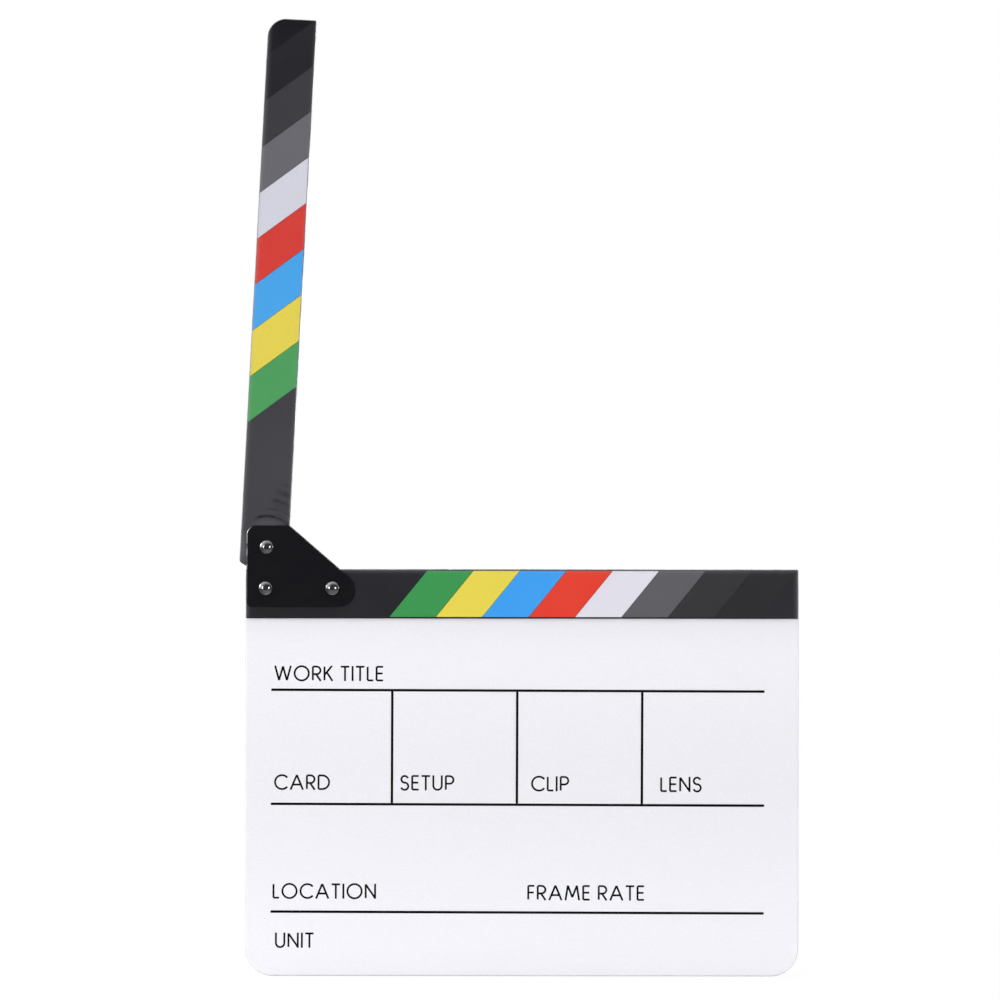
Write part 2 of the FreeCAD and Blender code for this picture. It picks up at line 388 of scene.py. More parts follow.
def stroke_points(stroke):
    """The points of one stroke, in shares of the height of the capitals."""
    if len(stroke) == line_numbers:
        return [stroke[:2], stroke[2:]]
    across, up, radius, first, last = stroke
    count = math.ceil((last - first) / arc_step)
    angles = [math.radians(first + (last - first) * step / count) for step in range(count + 1)]
    return [(across + radius * math.cos(angle), up + radius * math.sin(angle)) for angle in angles]


def new_curve(name):
    """An empty curve in space."""
    curve = bpy.data.curves.new(name, "CURVE")
    curve.dimensions = "3D"
    return curve


def add_line(curve, points, ring):
    """Adds a line through the points to a curve, closed on itself where it is a ring."""
    spline = curve.splines.new("POLY")
    spline.points.add(len(points) - 1)
    spline.use_cyclic_u = ring
    for spot, place in zip(spline.points, points):
        spot.co = (*place, 1.0)


def mesh_of(curve, name):
    """A curve made into a piece with a mesh."""
    piece = bpy.data.objects.new(name, curve)
    bpy.context.scene.collection.objects.link(piece)
    select_only(piece)
    bpy.ops.object.convert(target="MESH")
    return named(bpy.context.object, name)


def draw_stroke(curve, stroke, left, foot):
    """Adds one stroke of a letter to the curve, closed where the stroke is a ring."""
    points = stroke_points(stroke)
    ring = math.dist(points[0], points[-1]) < ring_gap_share
    if ring:
        points.pop()
    placed = [(left + across * cap_height, 0.0, foot + up * cap_height) for across, up in points]
    add_line(curve, placed, ring)


def print_word(word, left, foot):
    """One label as a mesh of round strokes."""
    curve = new_curve("label")
    curve.bevel_depth = letter_stroke / 2
    curve.bevel_resolution = 2
    curve.use_fill_caps = True
    for letter in word:
        if letter == " ":
            left += word_gap_share * cap_height
            continue
        width, strokes = letter_shares[letter]
        for stroke in strokes:
            draw_stroke(curve, stroke, left, foot)
        left += (width + letter_gap_share) * cap_height
    return mesh_of(curve, "label")


# The strokes are pressed flat to the height of the ink and set on the face of the slate
form_labels = join("form_labels", [print_word(*label) for label in labels])
form_labels.scale.y = 2 * ink_height / letter_stroke
form_labels.location.y = slate_face
bpy.ops.object.transform_apply()
turn_all(form_labels, print_turn, print_centre)
form_labels.data.materials.append(ink)
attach(form_labels, "slate")


# Lower stick: the fixed clapstick, a straight bar of hardwood under satin black lacquer.
# It is planed with its edges eased, slotted from below for the slate and drilled for the hinge.
def add_bar(x, z, radius, front, back, sides, turn=0.0):
    """Adds a bar along Y, turned about itself."""
    bpy.ops.mesh.primitive_cylinder_add(
        vertices=sides,
        radius=radius,
        depth=back - front,
        location=(x, (front + back) / 2, z),
        rotation=(math.pi / 2, turn, 0),
    )


def round_slab(name, posts, front, back):
    """A flat piece whose outline is drawn tight round a set of (x, z, radius) posts along Y."""
    select_only()
    for x, z, radius in posts:
        add_bar(x, z, radius, front, back, post_sides)
        if bpy.context.mode == "OBJECT":
            bpy.ops.object.transform_apply()
            bpy.ops.object.mode_set(mode="EDIT")
    bpy.ops.mesh.select_all(action="SELECT")
    bpy.ops.mesh.convex_hull()
    bpy.ops.mesh.dissolve_limited(angle_limit=flat_angle)
    bpy.ops.object.mode_set(mode="OBJECT")
    return named(bpy.context.object, name)


def ease_faces(piece, faces, radius):
    """Rounds over the outline of a flat piece where it meets the given Y planes."""
    close = radius / 10

    def in_a_face(start, end):
        return any(max(abs(start.y - face), abs(end.y - face)) < close for face in faces)

    bevel_edges(piece, in_a_face, radius, ease_steps)


def apply_step(piece, kind, **settings):
    """Gives the piece a modifier of that kind and applies it."""
    step = piece.modifiers.new(kind.lower(), kind)
    for name, value in settings.items():
        setattr(step, name, value)
    select_only(piece)
    bpy.ops.object.modifier_apply(modifier=step.name)


def carve(piece, tool, operation="DIFFERENCE"):
    """Cuts the tool out of the piece, or joins or keeps what they share, and clears the tool away."""
    apply_step(piece, "BOOLEAN", operation=operation, solver="EXACT", object=tool)
    bpy.data.objects.remove(tool)


def peg(x, z, radius, front, back, sides, turn=math.pi / 6):
    """A bar along Y as a piece of its own, turned so that a hexagon has two level flats."""
    select_only()
    add_bar(x, z, radius, front, back, sides, turn)
    bpy.ops.object.transform_apply()
    return bpy.context.object


def drill(piece, x, z, radius, front, back, sides):
    """Drills a hole along Y right through a piece."""
    carve(piece, peg(x, z, radius, front - cut_overrun, back + cut_overrun, sides))


def mark_edge_wear_and_light(piece, handled, lit_side):
    """A value named edge on the mesh, for how much each rounded edge is rubbed and lit: a share all
    round, more where it faces the lit side, which is painted highlight, and less than nothing, which is
    painted shade, where it faces away."""
    mesh = piece.data
    wear_and_light = []
    for vertex in mesh.vertices:
        facing = vertex.normal.y**2
        # More where the edge faces the lit side is painted highlight, and less than nothing is painted
        # shade
        share = min(max(handled + vertex.normal.dot(lit_side), -1.0), 1.0)
        wear_and_light.append(4 * facing * (1 - facing) * share)
    for face in mesh.polygons:
        if not side_facing < abs(face.normal.y) < front_facing:
            for index in face.vertices:
                wear_and_light[index] = 0.0
    mesh.attributes.new("edge", "FLOAT", "POINT").data.foreach_set("value", wear_and_light)


def smooth(piece):
    """Smooth shading that keeps broad faces flat."""
    select_only(piece)
    bpy.ops.object.shade_smooth_by_angle(angle=smooth_angle)
    apply_step(piece, "WEIGHTED_NORMAL", keep_sharp=True, weight=100)


post_sides = 128
hole_sides = 48
ease_steps = 4
flat_angle = math.radians(0.5)
smooth_angle = math.radians(40)
# How squarely a face looks forwards or backwards: less is a side, and more is a flat front or back
side_facing = 0.01
front_facing = 0.999
# The sticks' edges that face up get the pale worn colour as painted highlight, and those that face down
# get painted shade
stick_handled = 0.8
upwards = Vector((0.0, 0.0, 2.6))
cut_overrun = 0.002
stick_edge_round = 0.0005
stick_corner_radius = 0.0007
slot_clearance = 0.0001
screw_hole_radius = 0.00215

pivot_x, _, pivot_z = frame["joints"][0]["pos_m"]
pivot = Vector((pivot_x, 0.0, pivot_z))
head_radius = 0.0038
fixing_low, fixing_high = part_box("fixing_screws")
fixing_z = (fixing_low.z + fixing_high.z) / 2
fixing_places = {
    "near_fixing": (fixing_low.x + head_radius, fixing_z),
    "far_fixing": (fixing_high.x - head_radius, fixing_z),
}

lower_low, lower_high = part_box("lower_stick")
lower_posts = [
    (x, z, stick_corner_radius)
    for x in (lower_low.x + stick_corner_radius, lower_high.x - stick_corner_radius)
    for z in (lower_low.z + stick_corner_radius, lower_high.z - stick_corner_radius)
]
lower_stick = round_slab("lower_clapstick", lower_posts, lower_low.y, lower_high.y)
ease_faces(lower_stick, (lower_low.y, lower_high.y), stick_edge_round)
carve(
    lower_stick,
    block(
        "slot",
        (lower_low.x - cut_overrun, slate_low.y - slot_clearance, lower_low.z - cut_overrun),
        (lower_high.x + cut_overrun, slate_high.y + slot_clearance, slate_high.z + slot_clearance),
    ),
)
for x, z in fixing_places.values():
    drill(lower_stick, x, z, screw_hole_radius, lower_low.y, lower_high.y, hole_sides)
mark_edge_wear_and_light(lower_stick, stick_handled, upwards)
smooth(lower_stick)


def own_value(tree, name):
    """A value that is stored on the piece's own mesh."""
    return add_node(tree, "ShaderNodeAttribute", {}, attribute_name=name).outputs["Fac"]


def combine_vectors(tree, operation, *vectors):
    """The outputs of one operation on vectors: its Vector or its Value."""
    return add_node(tree, "ShaderNodeVectorMath", dict(enumerate(vectors)), operation=operation).outputs


# Edges rubbed by handling, and edges given a painted highlight where they face the light, which break
# up along their way
nick_low = 0.25
nick_high = 0.6
rubbed_and_lit_edges, given = new_group("rubbed_and_lit_edges", ("Vector",), ("Edge", "Scale"))
nicks = noise(rubbed_and_lit_edges, given["Vector"], given["Scale"], detail=5.0)
worn_here = ramp(rubbed_and_lit_edges, nicks, nick_low, nick_high)
put_out(rubbed_and_lit_edges, "Mask", combine(rubbed_and_lit_edges, "MULTIPLY", worn_here, given["Edge"]))

# Painted sheen along a stick's outline, a pale band for the light its rounded edges catch, which fades
# inwards. Half is half the stick's length, thickness and width, once it is turned back about its own
# middle
sheen_width = 0.004
sheen_share = 0.25
sheen_fall = 3
outline_sheen, given = new_group("outline_sheen", ("Vector", "Middle", "Turn", "Half"))
from_middle = combine_vectors(outline_sheen, "SUBTRACT", given["Vector"], given["Middle"])["Vector"]
laid = lay(outline_sheen, from_middle, given["Turn"])
off_middle = combine_vectors(outline_sheen, "ABSOLUTE", laid)["Vector"]
inwards = combine_vectors(outline_sheen, "SUBTRACT", given["Half"], off_middle)["Vector"]
inwards_parts = parts_of(outline_sheen, inwards)
nearest = combine(outline_sheen, "MINIMUM", inwards_parts["X"], inwards_parts["Z"])
near_outline = ramp(outline_sheen, nearest, 0.0, sheen_width, sheen_share ** (1 / sheen_fall), 0.0)
put_out(outline_sheen, "Mask", combine(outline_sheen, "POWER", near_outline, sheen_fall))

# Wood grain that shows through a thin finish: pores drawn out along the stick
pore_stretch = (28.0, 900.0, 900.0)
wood_grain, given = new_group("wood_grain", ("Vector", "Turn"))
along = lay(wood_grain, given["Vector"], given["Turn"], pore_stretch)
put_out(wood_grain, "Height", noise(wood_grain, along, scale=1.0, detail=3.0))

# The pale colour is worn lacquer and also painted highlight along the edges and outline; the near black
# is painted shade on edges that face down
lacquer_worn_and_sheen = srgb(168, 167, 172)
lacquer_edge_shade = srgb(2, 2, 3)
edge_shade_roughening = 0.6
scratch_roughening = 0.15
scratch_stretch = (22.0, 40.0, 700.0)
lacquer_pore_depth = 0.00003


def black_lacquer(name, near_colour, far_colour, lie, gradient):
    """Satin lacquer on wood, with wear and painted highlight on its edges and outline and painted shade
    on edges that face down.
    The lie says where the stick is, and the gradient is a function that adds nodes for a mask from near
    to far."""
    material, tree, shader, place = new_material(name)
    edge = own_value(tree, "edge")
    rubbed_and_lit = use_group(tree, rubbed_and_lit_edges, {"Vector": place, "Edge": edge, "Scale": 160.0})
    edge_shade = combine(tree, "MAXIMUM", combine(tree, "MULTIPLY", edge, -1.0), 0.0)
    tone = blend_colours(tree, gradient(tree, place), near_colour, far_colour)
    edge_sheen = use_group(tree, outline_sheen, {"Vector": place, **lie})
    sheened = blend_colours(tree, edge_sheen, tone, lacquer_worn_and_sheen)
    edge_shaded = blend_colours(tree, edge_shade, sheened, lacquer_edge_shade)
    satin = clouds(tree, place, scale=45.0, low=0.36, high=0.5)
    along = {"Vector": place, "Turn": lie["Turn"]}
    scratches = use_group(tree, hairlines, {**along, "Stretch": scratch_stretch})
    scratched = combine(tree, "MULTIPLY_ADD", scratches, scratch_roughening, satin)
    set_inputs(tree, shader, {
        "Base Color": blend_colours(tree, rubbed_and_lit, edge_shaded, lacquer_worn_and_sheen),
        "Roughness": combine(tree, "MULTIPLY_ADD", edge_shade, edge_shade_roughening, scratched),
        "Normal": raised(tree, use_group(tree, wood_grain, along), lacquer_pore_depth),
        "Specular IOR Level": 0.3,
    })
    return material


def stick_lie(left, right, bottom, top, turn):
    """Where a stick lies once it has turned about the pivot, for its grain and its painted sheen."""
    middle = Vector((left + right, 0.0, bottom + top)) / 2
    half = Vector((right - left, 0.0, top - bottom)) / 2
    swing = Matrix.Rotation(-turn, 3, "Y")
    return {"Middle": pivot + swing @ (middle - pivot), "Turn": (0.0, turn, 0.0), "Half": half}


def lower_gradient(tree, place):
    """From the hinge end of the lower stick to its free end."""
    return ramp(tree, parts_of(tree, place)["X"], lower_low.x, lower_high.x)


lower_black = srgb(36, 35, 40)
lower_black_far = srgb(44, 43, 49)
# The painted sheen is weaker along the lower edge, so it is given to the sheen as further off than it
# is
lower_edge_shift = 0.003
lower_lie = stick_lie(lower_low.x, lower_high.x, lower_low.z - lower_edge_shift, lower_high.z, turn=0.0)
lower_stick.data.materials.append(
    black_lacquer("lower_black_lacquer", lower_black, lower_black_far, lower_lie, lower_gradient)
)
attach(lower_stick, "slate")
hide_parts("lower_stick")


# Lower films: eight slanted strips of coloured vinyl, from green by the hinge to dark grey at the end.
# They are cut from printed sheet and stuck side by side on the flat front of the stick.
speckle_share = 0.93
vinyl_pore_depth = 0.00001


def vinyl(name, colour, lie):
    """Printed vinyl film with a faint speckle and a painted sheen along the stick's outline, over wood
    whose grain shows through a little.
    """
    material, tree, shader, place = new_material(name)
    deep = (*(part * speckle_share for part in colour[:3]), 1.0)
    speckled = blend_colours(tree, clouds(tree, place, scale=1500.0, low=0.0, high=1.0), colour, deep)
    edge_sheen = use_group(tree, outline_sheen, {"Vector": place, **lie})
    grain = use_group(tree, wood_grain, {"Vector": place, "Turn": lie["Turn"]})
    set_inputs(tree, shader, {
        "Base Color": blend_colours(tree, edge_sheen, speckled, lacquer_worn_and_sheen),
        "Roughness": clouds(tree, place, scale=60.0, low=0.34, high=0.46),
        "Normal": raised(tree, grain, vinyl_pore_depth),
        "Specular IOR Level": 0.3,
    })
    return material


def cover_films(row, colours, lie):
    """Gives each film of a row its own vinyl."""
    for colour_name, colour in colours.items():
        film = nodes[row + "_film_" + colour_name]
        film.material_slots[0].material = vinyl(row + "_vinyl_" + colour_name, colour, lie)


lower_film_colours = {
    "green": srgb(57, 151, 79),
    "yellow": srgb(230, 212, 76),
    "blue": srgb(58, 158, 239),
    "red": srgb(228, 60, 41),
    "white": srgb(223, 221, 231),
    "light_grey": srgb(95, 94, 99),
    "mid_grey": srgb(55, 54, 57),
    "dark_grey": srgb(46, 46, 49),
}
cover_films("lower", lower_film_colours, lower_lie)


# Upper stick: the clapstick that swings, a second bar of the same wood and lacquer.
# Its heel is rounded about the pivot and bored for the sleeve, and its free end has one round corner.
clap_gap = 0.0001
upper_stick_width = 0.0258
end_setback = 0.0017
heel_radius = 0.0116
heel_cut_length = 0.0030
heel_cut_width = 0.0055
heel_cut_radius = 0.0022
free_end_radius = 0.010
sleeve_hole_radius = 0.00305
sleeve_hole_sides = 64
open_turn = math.radians(87)
side_play = 0.0001

closed_left = pivot_x - heel_radius
closed_right = lower_high.x - end_setback
closed_bottom = lower_high.z + clap_gap
closed_top = closed_bottom + upper_stick_width
upper_front = lower_low.y + side_play
upper_back = lower_high.y - side_play
heel_cut_edge = math.hypot(heel_cut_length, heel_cut_width)
cut_top_share = (heel_cut_edge - heel_cut_length) / heel_cut_width
cut_end_share = (heel_cut_edge - heel_cut_width) / heel_cut_length
cut_top_x = closed_left + heel_cut_length + heel_cut_radius * cut_top_share
cut_end_z = closed_top - heel_cut_width - heel_cut_radius * cut_end_share
upper_posts = (
    (closed_left + heel_radius, closed_bottom + heel_radius, heel_radius),
    (closed_right - stick_corner_radius, closed_bottom + stick_corner_radius, stick_corner_radius),
    (closed_right - free_end_radius, closed_top - free_end_radius, free_end_radius),
    (cut_top_x, closed_top - heel_cut_radius, heel_cut_radius),
    (closed_left + heel_cut_radius, cut_end_z, heel_cut_radius),
)
upper_stick = round_slab("upper_clapstick", upper_posts, upper_front, upper_back)
ease_faces(upper_stick, (upper_front, upper_back), stick_edge_round)
drill(upper_stick, pivot_x, pivot_z, sleeve_hole_radius, upper_front, upper_back, sleeve_hole_sides)
turn_all(upper_stick, open_turn, pivot)
mark_edge_wear_and_light(upper_stick, stick_handled, upwards)
smooth(upper_stick)

# Scuffs that the front plate's top edge has rubbed in the lacquer, as darker arcs through the painted
# sheen: each is the radius of its arc about the pivot, its half width, its depth and where it starts
# beside the pivot
scuffs = (
    (0.0166, 0.0013, 0.40, -0.0075),
    (0.0186, 0.0009, 0.14, 0.0030),
    (0.0206, 0.0010, 0.22, -0.0015),
    (0.0226, 0.0014, 0.13, 0.0030),
    (0.0252, 0.0022, 0.22, 0.0020),
    (0.0300, 0.0026, 0.19, 0.0035),
    (0.0345, 0.0016, 0.13, 0.0065),
)
scuff_fade = 0.003
# The heel's painted sheen lessens by a first step near the pivot, and by the rest along the films
heel_sheen_start = 0.007
heel_sheen_end = 0.0157
heel_sheen_step = 0.63
clearing_start = 0.058


def upper_gradient(tree, place):
    """From the painted sheen on the heel to clear black at the free end, less the scuffs."""
    from_pivot = combine_vectors(tree, "SUBTRACT", place, pivot)["Vector"]
    flat = combine_vectors(tree, "MULTIPLY", from_pivot, (1.0, 0.0, 1.0))["Vector"]
    reach = combine_vectors(tree, "LENGTH", flat)["Value"]
    beside = parts_of(tree, flat)["X"]
    near_step = ramp(tree, reach, heel_sheen_start, heel_sheen_end, 0.0, heel_sheen_step)
    far_step = ramp(tree, reach, clearing_start, closed_right - pivot_x, 0.0, 1 - heel_sheen_step)
    mask = combine(tree, "ADD", near_step, far_step)
    smudge = clouds(tree, place, scale=260.0, low=0.45, high=1.0)
    for radius, half_width, depth, start in scuffs:
        arc = ramp(tree, distance(tree, reach, radius), 0.0, half_width, depth, 0.0, "SMOOTHSTEP")
        side = ramp(tree, beside, start, start + scuff_fade)
        mask = combine(tree, "MULTIPLY_ADD", combine(tree, "MULTIPLY", arc, side), smudge, mask)
    return combine(tree, "MINIMUM", mask, 1.0)


# The heel is a pale grey that fades to clear black along the stick: a painted sheen, which on the heel
# also offsets the front plate's shade
upper_black_sheen = srgb(101, 100, 105)
upper_black_far = srgb(24, 23, 29)
# The painted sheen is weaker along the clapping edge and the free end too
clap_edge_shift = 0.001
free_end_shift = 0.002
upper_lie = stick_lie(
    closed_left, closed_right + free_end_shift, closed_bottom - clap_edge_shift, closed_top, open_turn
)
upper_stick.data.materials.append(
    black_lacquer("upper_black_lacquer", upper_black_sheen, upper_black_far, upper_lie, upper_gradient)
)
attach(upper_stick, "clap_stick")
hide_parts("upper_stick")


# Upper films: the same eight strips on the swinging stick, which meet the lower ones as chevrons.
# They are cut and stuck as those are, and their colours differ from the lower ones as painted light and
# shade, for the way the light falls on the swinging stick.
upper_film_lit_colours = {
    "green": srgb(75, 156, 91),
    "yellow": srgb(224, 206, 77),
    "blue": srgb(68, 161, 229),
    "red": srgb(210, 58, 50),
    "white": srgb(207, 207, 218),
    "light_grey": srgb(103, 102, 108),
    "mid_grey": srgb(60, 59, 64),
    "dark_grey": srgb(38, 37, 43),
}
cover_films("upper", upper_film_lit_colours, upper_lie)


# Pivot sleeve: a short steel tube round the pivot screw, on which the swinging stick turns.
# It is cut from drawn tube and clamped between the two plates.
ring_scale = 9000.0
ring_relief = 0.000006


def turning_marks(name, colour, pale, roughness):
    """Bright metal with fine rings left by the lathe or the press, by its value named from_axis.
    The roughness goes from a low to a high value."""
    material, tree, shader, place = new_material(name)
    rings = add_node(
        tree,
        "ShaderNodeTexNoise",
        {"W": own_value(tree, "from_axis"), "Scale": ring_scale, "Detail": 2.0},
        noise_dimensions="1D",
    ).outputs["Fac"]
    spots = clouds(tree, place, scale=420.0, low=0.0, high=1.0)
    set_inputs(tree, shader, {
        "Base Color": blend_colours(tree, spots, colour, pale),
        "Roughness": ramp(tree, rings, 0.0, 1.0, *roughness),
        "Normal": raised(tree, rings, ring_relief),
        "Metallic": 1.0,
    })
    return material


steel_grey = srgb(150, 150, 152)
steel_pale = srgb(168, 168, 170)
sleeve_steel = turning_marks("drawn_steel", steel_grey, steel_pale, roughness=(0.3, 0.45))
nodes["pivot_sleeve"].material_slots[0].material = sleeve_steel


# Hinge plates: two like steel plates that carry the pivot, one on each side of the sticks.
# They are blanked from sheet, tumbled to ease the outer edge, powder coated and screwed through.
plate_top_width = 0.0228
plate_lobe_radius = 0.0091
plate_top_left_radius = 0.005
plate_shoulder_radius = 0.0006
plate_bottom_left_radius = 0.003
plate_edge_round = 0.0008
# The plate's edges that face left are marked most: wear placed as a painted highlight where the light
# from the left catches the edge
plate_handled = 0.1
leftwards = Vector((-1.4, 0.0, 0.0))
screw_places = ((pivot_x, pivot_z), *fixing_places.values())

coat_black = srgb(20, 19, 24)
bare_steel = srgb(196, 196, 199)
coat_relief = 0.00002
bare_start = 0.25
bare_full = 0.6
powder_coat, tree, shader, place = new_material("black_powder_coat_finish")
edge = own_value(tree, "edge")
rubbed_and_lit = use_group(tree, rubbed_and_lit_edges, {"Vector": place, "Edge": edge, "Scale": 240.0})
height = parts_of(tree, place)["Z"]
beside_heel = ramp(tree, height, lower_high.z, lower_high.z + heel_cut_radius)
# Bare steel only above the lower stick, where the edge stands against the heel: partly wear, partly
# painted highlight
bare_edge_highlight = combine(tree, "MULTIPLY", ramp(tree, rubbed_and_lit, bare_start, bare_full), beside_heel)
set_inputs(tree, shader, {
    "Base Color": blend_colours(tree, bare_edge_highlight, coat_black, bare_steel),
    "Metallic": bare_edge_highlight,
    "Roughness": clouds(tree, place, scale=120.0, low=0.36, high=0.48),
    "Normal": raised(tree, noise(tree, place, scale=1400.0, detail=2.0), coat_relief),
    "Coat Weight": combine(tree, "MAXIMUM", edge, 0.0),
    "Coat Roughness": 0.2,
    "Specular IOR Level": 0.15,
})


def hinge_plate(name, node):
    """One plate, eased on the side away from the sticks and drilled for the three screws."""
    low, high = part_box(node)
    shoulder_x = low.x + plate_top_width
    across = high.x - plate_lobe_radius - shoulder_x
    down = high.z - low.z - plate_lobe_radius
    slope = math.atan2(down, across) - math.asin(plate_lobe_radius / math.hypot(across, down))
    shoulder_post_x = shoulder_x - plate_shoulder_radius * math.tan(slope / 2)
    posts = (
        (low.x + plate_bottom_left_radius, low.z + plate_bottom_left_radius, plate_bottom_left_radius),
        (high.x - plate_lobe_radius, low.z + plate_lobe_radius, plate_lobe_radius),
        (shoulder_post_x, high.z - plate_shoulder_radius, plate_shoulder_radius),
        (low.x + plate_top_left_radius, high.z - plate_top_left_radius, plate_top_left_radius),
    )
    plate = round_slab(name, posts, low.y, high.y)
    outer_face = low.y if low.y < 0 else high.y
    ease_faces(plate, (outer_face,), plate_edge_round)
    for x, z in screw_places:
        drill(plate, x, z, screw_hole_radius, low.y, high.y, hole_sides)
    mark_edge_wear_and_light(plate, plate_handled, leftwards)
    smooth(plate)
    plate.data.materials.append(powder_coat)
    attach(plate, "slate")
    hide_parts(node)


hinge_plate("front_plate", "front_hinge_plate")
hinge_plate("rear_plate", "rear_hinge_plate")


# Screws: three button head machine screws with a hexagon socket, through both plates.
# They are cold headed steel, rolled with a thread and plated with bright zinc.
def turned(name, profile, ring=False):
    """A round piece about the pivot's axis, through the (radius, y) points of its profile.
    The profile is closed on itself for a ring, or else by a flat at each end."""
    if not ring:
        profile = [(0.0, profile[0][1]), *profile, (0.0, profile[-1][1])]
    curve = new_curve(name)
    add_line(curve, [(radius, y, 0.0) for radius, y in profile], ring)
    piece = mesh_of(curve, name)
    apply_step(
        piece,
        "SCREW",
        axis="Y",
        steps=turned_sides,
        render_steps=turned_sides,
        use_merge_vertices=True,
        merge_threshold=lathe_merge,
    )
    piece.location = pivot
    bpy.ops.object.transform_apply()
    bpy.ops.object.mode_set(mode="EDIT")
    bpy.ops.mesh.select_all(action="SELECT")
    bpy.ops.mesh.normals_make_consistent(inside=False)
    bpy.ops.object.mode_set(mode="OBJECT")
    return piece


def mark_axis(piece):
    """A value named from_axis on the mesh: the distance from the pivot's axis."""
    mesh = piece.data
    reaches = [math.hypot(vertex.co.x - pivot_x, vertex.co.z - pivot_z) for vertex in mesh.vertices]
    mesh.attributes.new("from_axis", "FLOAT", "POINT").data.foreach_set("value", reaches)


def arc_profile(centre_radius, centre_y, radius, first, last, steps):
    """Points of a profile along an arc, from the first to the last angle away from the -Y direction."""
    points = []
    for step in range(steps + 1):
        angle = math.radians(first + (last - first) * step / steps)
        points.append((centre_radius + radius * math.sin(angle), centre_y - radius * math.cos(angle)))
    return points


def arc_to(radius, y, tilt, inner_radius, inner_tilt, steps):
    """Points of a profile along the arc that ends at a radius and y with one tilt, from an inner radius
    where it has another tilt."""
    end_share = math.sin(math.radians(tilt))
    bend = (radius - inner_radius) / (end_share - math.sin(math.radians(inner_tilt)))
    centre_y = y + bend * math.cos(math.radians(tilt))
    return arc_profile(radius - bend * end_share, centre_y, bend, inner_tilt, tilt, steps)


def copy_stack(first, kind):
    """The pivot's finished piece, and a copy with its own mesh at each fixing place."""
    pieces = [first]
    for place_name, (x, z) in fixing_places.items():
        select_only(first)
        bpy.ops.object.duplicate()
        copied = named(bpy.context.object, place_name + "_" + kind)
        copied.location = (x - pivot_x, 0, z - pivot_z)
        bpy.ops.object.transform_apply()
        pieces.append(copied)
    return pieces


def along_the_screw(start, end):
    """Whether an edge runs from one end of the thread to the other."""
    return abs(start.y - end.y) > thread_pitch


turned_sides = 64
lathe_merge = 0.000001
hexagon_sides = 6
screw_low, screw_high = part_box("pivot_screw")
plate_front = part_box("front_hinge_plate")[0].y
crown_y = screw_low.y
tip_y = screw_high.y
head_rim = 0.0003
rim_round = 0.00012
rim_tilt = 52
shoulder_radius = 0.0018
shoulder_tilt = 28
crown_radius = 0.0013
crown_tilt = 14
dome_steps = 12
crown_steps = 5
shank_radius = 0.0020
shank_end = 0.0042
socket_radius = 0.0025 / math.sqrt(3)
socket_depth = 0.0013
mouth_radius = 0.00155
mouth_floor_radius = 0.9 * socket_radius
mouth_overrun = 0.0005
thread_pitch = 0.0007
thread_depth = 0.00035
thread_sides = 40
thread_cuts = 92
tip_chamfer = 0.0005

dome = arc_to(head_radius, plate_front - head_rim, rim_tilt, shoulder_radius, shoulder_tilt, dome_steps)
crown = arc_to(*dome[0], shoulder_tilt, crown_radius, crown_tilt, crown_steps)
head_profile = [
    *crown,
    *dome[1:],
    (head_radius, plate_front - rim_round),
    (head_radius - rim_round, plate_front),
    (shank_radius, plate_front),
    (shank_radius, shank_end),
]
pivot_screw = turned("pivot_button_screw", head_profile)
socket_floor = crown_y + socket_depth
socket = peg(pivot_x, pivot_z, socket_radius, crown_y - cut_overrun, socket_floor, hexagon_sides)
carve(pivot_screw, socket)
mouth_profile = [
    (mouth_radius + mouth_overrun, crown_y - mouth_overrun),
    (mouth_floor_radius, crown_y + mouth_radius - mouth_floor_radius),
]
carve(pivot_screw, turned("mouth", mouth_profile))

thread = peg(pivot_x, pivot_z, shank_radius, shank_end - thread_pitch, tip_y, thread_sides, turn=0.0)
select_edges(thread, along_the_screw)
bpy.ops.mesh.subdivide(number_cuts=thread_cuts)
bpy.ops.object.mode_set(mode="OBJECT")
for vertex in thread.data.vertices:
    across = vertex.co.x - pivot_x
    up = vertex.co.z - pivot_z
    turns = vertex.co.y / thread_pitch - math.atan2(up, across) / math.tau
    groove = abs(2 * (turns % 1) - 1)
    tip_radius = shank_radius - tip_chamfer + (tip_y - vertex.co.y)
    share = min(shank_radius - thread_depth * groove, tip_radius) / math.hypot(across, up)
    vertex.co.x = pivot_x + across * share
    vertex.co.z = pivot_z + up * share
carve(pivot_screw, thread, "UNION")
mark_axis(pivot_screw)
smooth(pivot_screw)

zinc_bright = srgb(190, 190, 193)
zinc_pale = srgb(210, 210, 212)
bright_zinc = turning_marks("bright_zinc_plate", zinc_bright, zinc_pale, roughness=(0.12, 0.22))
pivot_screw.data.materials.append(bright_zinc)
screws = copy_stack(pivot_screw, "screw")
for screw, node in zip(screws, ("pivot_screw", "fixing_screws", "fixing_screws")):
    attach(screw, "slate")
    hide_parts(node)


# Washers: three flat washers behind the rear plate, one under each nut.
# They are blanked from steel strip, so one edge is rounded by the punch, and zinc plated.
washer_low, washer_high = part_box("washers")
washer_radius = 0.0045
washer_round = 0.00025
round_steps = 6
washer_edge = arc_profile(
    washer_radius - washer_round, washer_high.y - washer_round, washer_round, 90, 180, round_steps
)
washer_profile = [
    (screw_hole_radius, washer_low.y),
    (washer_radius, washer_low.y),
    *washer_edge,
    (screw_hole_radius, washer_high.y),
]
pivot_washer = turned("pivot_washer", washer_profile, ring=True)
mark_axis(pivot_washer)
smooth(pivot_washer)
zinc_dull = srgb(146, 146, 149)
zinc_dull_pale = srgb(164, 164, 166)
washer_zinc = turning_marks("dull_zinc_plate", zinc_dull, zinc_dull_pale, roughness=(0.25, 0.42))
pivot_washer.data.materials.append(washer_zinc)


